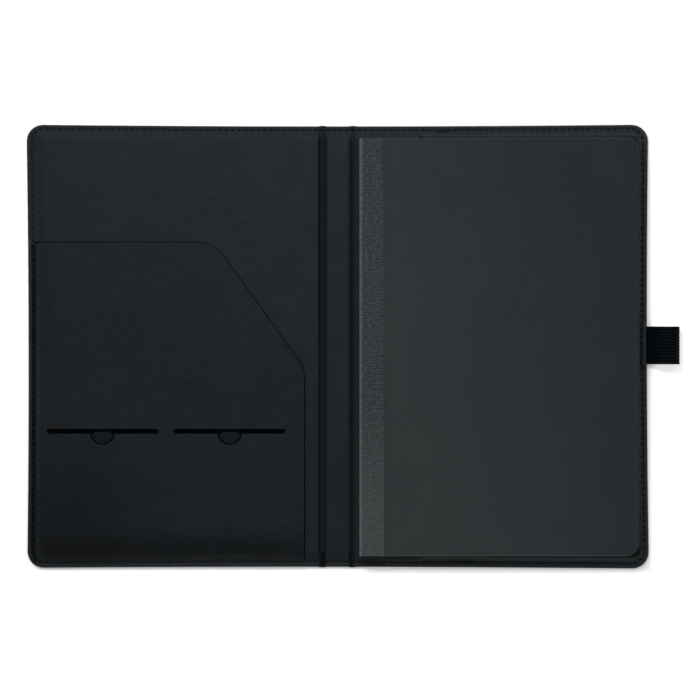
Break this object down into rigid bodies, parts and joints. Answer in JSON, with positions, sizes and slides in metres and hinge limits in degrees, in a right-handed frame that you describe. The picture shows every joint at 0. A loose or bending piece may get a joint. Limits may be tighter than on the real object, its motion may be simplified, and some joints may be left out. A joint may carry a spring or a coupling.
{
  "type": "padfolio",
  "caption": "Open hard-cover padfolio with folding spine, document pocket, card slots, elastic pen loop and a tape-bound writing pad held in a slit.",
  "frame": {"origin": "middle of the spine's underside, on the table, with the folio lying open and flat", "axes": "+X from the front cover towards the back cover and its pen loop, +Y up along the spine, +Z out of the table towards the reader"},
  "size_m": [0.3274, 0.2216, 0.0104],
  "materials": {
    "outer_skin": "matt black coated cloth, fine grain",
    "lining": "matt black coated cloth, smooth",
    "pocket": "matt black coated cloth, smooth",
    "greyboard": "grey binder's board",
    "card_backing": "dark grey backing cloth",
    "thread": "black sewing thread",
    "elastic": "ribbed black elastic",
    "pad_card": "dark grey uncoated card",
    "paper": "plain white writing paper",
    "binding_tape": "dark grey linen tape",
    "staple_wire": "galvanised wire"
  },
  "bodies": {
    "back_cover": {"back_outer_skin": "outer_skin", "back_greyboard": "greyboard", "back_lining": "lining", "back_seam_thread": "thread", "pen_loop_tail": "elastic"},
    "spine": {"spine_outer_skin": "outer_skin", "spine_greyboard": "greyboard", "spine_lining": "lining", "spine_seam_thread_top": "thread", "spine_seam_thread_bottom": "thread"},
    "front_cover": {"front_outer_skin": "outer_skin", "front_greyboard": "greyboard", "front_lining": "lining", "document_pocket": "pocket", "card_backing_left": "card_backing", "card_backing_right": "card_backing", "front_seam_thread": "thread"},
    "pad": {"pad_back_board": "greyboard", "pad_sheets": "paper", "pad_cover_bound_edge": "pad_card", "pad_binding_tape": "binding_tape", "pad_staple_upper": "staple_wire", "pad_staple_lower": "staple_wire"},
    "pad_cover": {"pad_cover": "pad_card"},
    "pen_loop": {"pen_loop": "elastic"}
  },
  "joints": [
    {"name": "spine_fold", "type": "hinge", "parent": "back_cover", "child": "spine", "pos_m": [0.00755, 0, 0.0004], "axis": [0, 1, 0], "range_deg": [-90, 90]},
    {"name": "front_cover_fold", "type": "hinge", "parent": "spine", "child": "front_cover", "pos_m": [-0.00755, 0, 0.0004], "axis": [0, 1, 0], "range_deg": [-90, 90]},
    {"name": "pad_slide", "type": "slide", "parent": "back_cover", "child": "pad", "axis": [1, 0, 0], "range_m": [-0.027, 0]},
    {"name": "pad_cover_turn", "type": "hinge", "parent": "pad", "child": "pad_cover", "pos_m": [0.0234, 0, 0.0105], "axis": [0, 1, 0], "range_deg": [-180, 0]},
    {"name": "pen_loop_bend", "type": "hinge", "parent": "back_cover", "child": "pen_loop", "pos_m": [0.1557, 0.0006, 0.0016], "axis": [0, 1, 0], "range_deg": [-60, 60], "stiffness_Nm_per_rad": 0.001}
  ]
}
